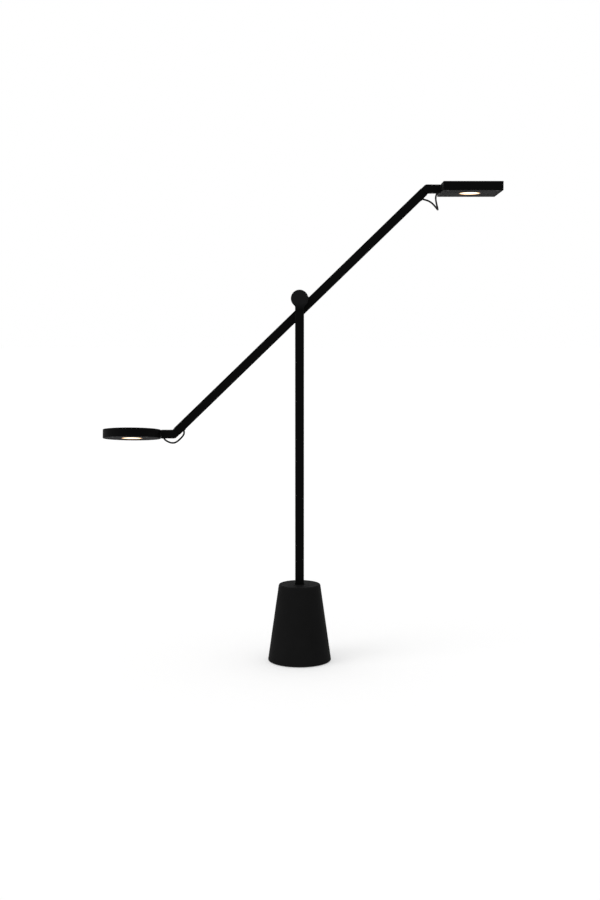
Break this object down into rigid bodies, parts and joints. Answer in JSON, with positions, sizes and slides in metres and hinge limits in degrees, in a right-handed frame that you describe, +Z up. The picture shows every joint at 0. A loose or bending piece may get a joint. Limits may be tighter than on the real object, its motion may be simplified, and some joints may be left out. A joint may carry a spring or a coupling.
{
  "type": "counterweight balance desk lamp",
  "caption": "Desk lamp whose long square arm, with a round and a square lamp head at its ends, tilts and shifts on a rack and pinion over a slim stem and weighted cone base.",
  "frame": {"origin": "point on the table under the stem, at the middle of the foot pad's underside", "axes": "+X to the right along the arm's span, towards the raised square head; +Y away from the viewer, from the stem to the arm behind it; +Z up the stem"},
  "size_m": [0.8018, 0.1444, 0.9687],
  "materials": {
    "cast_iron_black": "black powder coat with a fine sand texture on a cast iron weight",
    "black_aluminium": "satin black powder coat on aluminium",
    "black_die_cast": "matt black paint on die-cast aluminium",
    "black_steel": "black oxide on steel",
    "steel": "plain machined steel",
    "zinc_plate": "zinc plated sheet steel",
    "bronze": "sintered bronze",
    "bare_aluminium": "machined aluminium",
    "slide_plastic": "moulded low-friction plastic",
    "driver_plastic": "moulded housing",
    "black_rubber": "soft black rubber",
    "cable_jacket": "smooth matt black silicone jacket",
    "board_white": "white solder mask with a yellow light-emitting chip",
    "reflector_white": "bright reflecting cone",
    "lit_diffuser": "frosted diffuser lit warm white from behind"
  },
  "bodies": {
    "stand": {"base_casting": "cast_iron_black", "base_plate": "zinc_plate", "base_plate_screws": "steel", "foot_pad": "black_rubber", "led_driver": "driver_plastic", "cord_gland": "black_rubber", "stem_tube": "black_aluminium", "stem_set_screws": "steel", "stem_lead": "cable_jacket", "hub_housing": "black_die_cast", "hub_screws": "black_steel", "hub_front_cap": "black_die_cast", "pivot_axle": "steel", "pinion": "black_steel", "axle_washer": "steel", "axle_nut": "steel"},
    "carriage": {"carriage_plate": "black_die_cast", "slide_shoe": "slide_plastic", "carriage_screws": "black_steel", "carriage_bush": "bronze", "carriage_cap": "black_die_cast"},
    "arm": {"arm_tube": "black_aluminium", "rack": "black_steel", "arm_lead": "cable_jacket", "lower_arm_end": "black_die_cast", "upper_arm_end": "black_die_cast", "arm_end_screws": "black_steel", "arm_grommets": "black_rubber"},
    "lower_bracket": {"lower_bracket": "black_die_cast", "lower_bracket_grommet": "black_rubber", "lower_elbow_screw": "black_steel", "lower_elbow_washers": "slide_plastic", "lower_grub_screw": "black_steel", "lower_jumper_cable": "cable_jacket"},
    "round_head": {"round_head_cover": "black_die_cast", "round_head_cover_screws": "black_steel", "round_head_diffuser": "lit_diffuser", "round_head_heat_spreader": "bare_aluminium", "round_head_housing": "black_die_cast", "round_head_led_board": "board_white", "round_head_neck": "black_steel", "round_head_reflector": "reflector_white"},
    "upper_bracket": {"upper_bracket": "black_die_cast", "upper_bracket_grommet": "black_rubber", "upper_elbow_screw": "black_steel", "upper_elbow_washers": "slide_plastic", "upper_grub_screw": "black_steel", "upper_jumper_cable": "cable_jacket"},
    "square_head": {"square_head_cover": "black_die_cast", "square_head_cover_screws": "black_steel", "square_head_diffuser": "lit_diffuser", "square_head_heat_spreader": "bare_aluminium", "square_head_housing": "black_die_cast", "square_head_led_board": "board_white", "square_head_neck": "black_steel", "square_head_reflector": "reflector_white"}
  },
  "joints": [
    {"name": "arm_tilt", "type": "hinge", "parent": "stand", "child": "carriage", "pos_m": [0, 0.02, 0.7404], "axis": [0, -1, 0], "range_deg": [-103.96, 16.04]},
    {"name": "arm_shift", "type": "slide", "parent": "carriage", "child": "arm", "axis": [0.7198, 0, 0.6942], "range_m": [-0.006, 0.028]},
    {"name": "lower_elbow", "type": "hinge", "parent": "arm", "child": "lower_bracket", "pos_m": [-0.25637, 0.02, 0.46559], "axis": [0, 1, 0], "range_deg": [-118.96, 31.04], "deforming": ["lower_jumper_cable"]},
    {"name": "upper_elbow", "type": "hinge", "parent": "arm", "child": "upper_bracket", "pos_m": [0.25499, 0.02, 0.95872], "axis": [0, -1, 0], "range_deg": [-31.04, 118.96], "deforming": ["upper_jumper_cable"]},
    {"name": "round_head_roll", "type": "hinge", "parent": "lower_bracket", "child": "round_head", "pos_m": [-0.25637, 0.02, 0.46559], "axis": [-1, 0, 0], "range_deg": [-99.3, 80.7]},
    {"name": "square_head_roll", "type": "hinge", "parent": "upper_bracket", "child": "square_head", "pos_m": [0.25499, 0.02, 0.95872], "axis": [1, 0, 0], "range_deg": [-89, 91]}
  ],
  "couplings": [
    {"joint": "arm_shift", "follows": "arm_tilt", "m_per_rad": -0.014}
  ]
}
